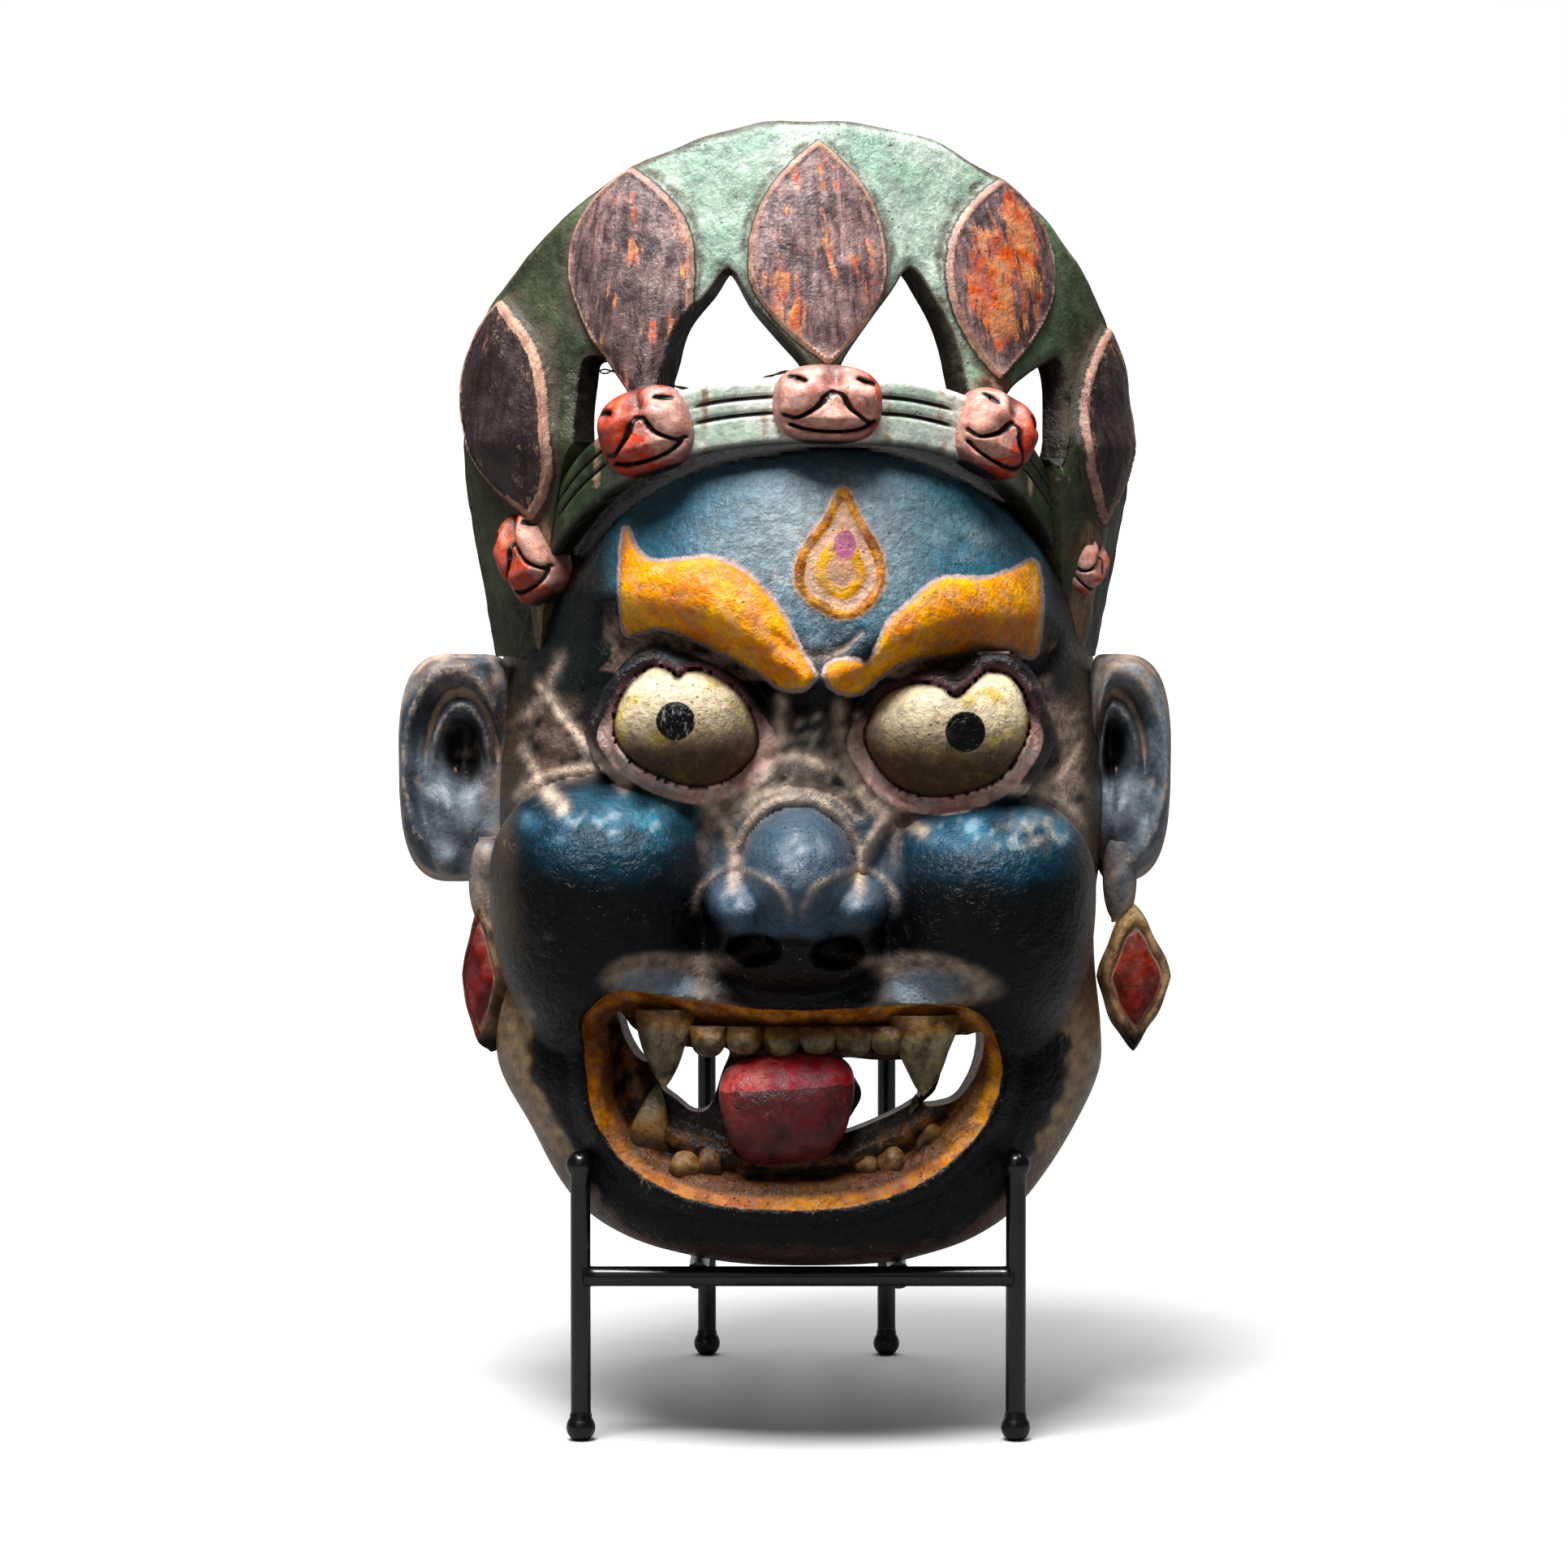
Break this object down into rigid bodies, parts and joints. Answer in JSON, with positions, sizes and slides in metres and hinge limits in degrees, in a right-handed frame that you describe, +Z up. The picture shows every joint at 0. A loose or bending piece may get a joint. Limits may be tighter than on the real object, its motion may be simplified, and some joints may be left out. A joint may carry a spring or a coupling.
{
  "type": "tibetan cham mask",
  "caption": "Carved and painted wooden dance mask of a wrathful guardian with a skull diadem and leaf crown, held upright by a welded black rod stand.",
  "frame": {"origin": "on the floor under the middle of the whole object's plan", "axes": "+Z up, the face looks along -Y, +X to the viewer's right"},
  "size_m": [0.2994, 0.2558, 0.487],
  "materials": {
    "painted_wood": "old mineral paint over carved wood, worn to a soft gloss on the high places, dusty in the creases",
    "iron_wire": "thin annealed iron wire, darkened",
    "black_steel": "gloss black enamel on round steel rod"
  },
  "bodies": {
    "root": {"mask": "painted_wood", "tie_wire": "iron_wire", "front_leg_left": "black_steel", "front_leg_right": "black_steel", "rear_leg_left": "black_steel", "rear_leg_right": "black_steel", "rail_left": "black_steel", "rail_right": "black_steel", "crossbar": "black_steel"}
  },
  "joints": []
}
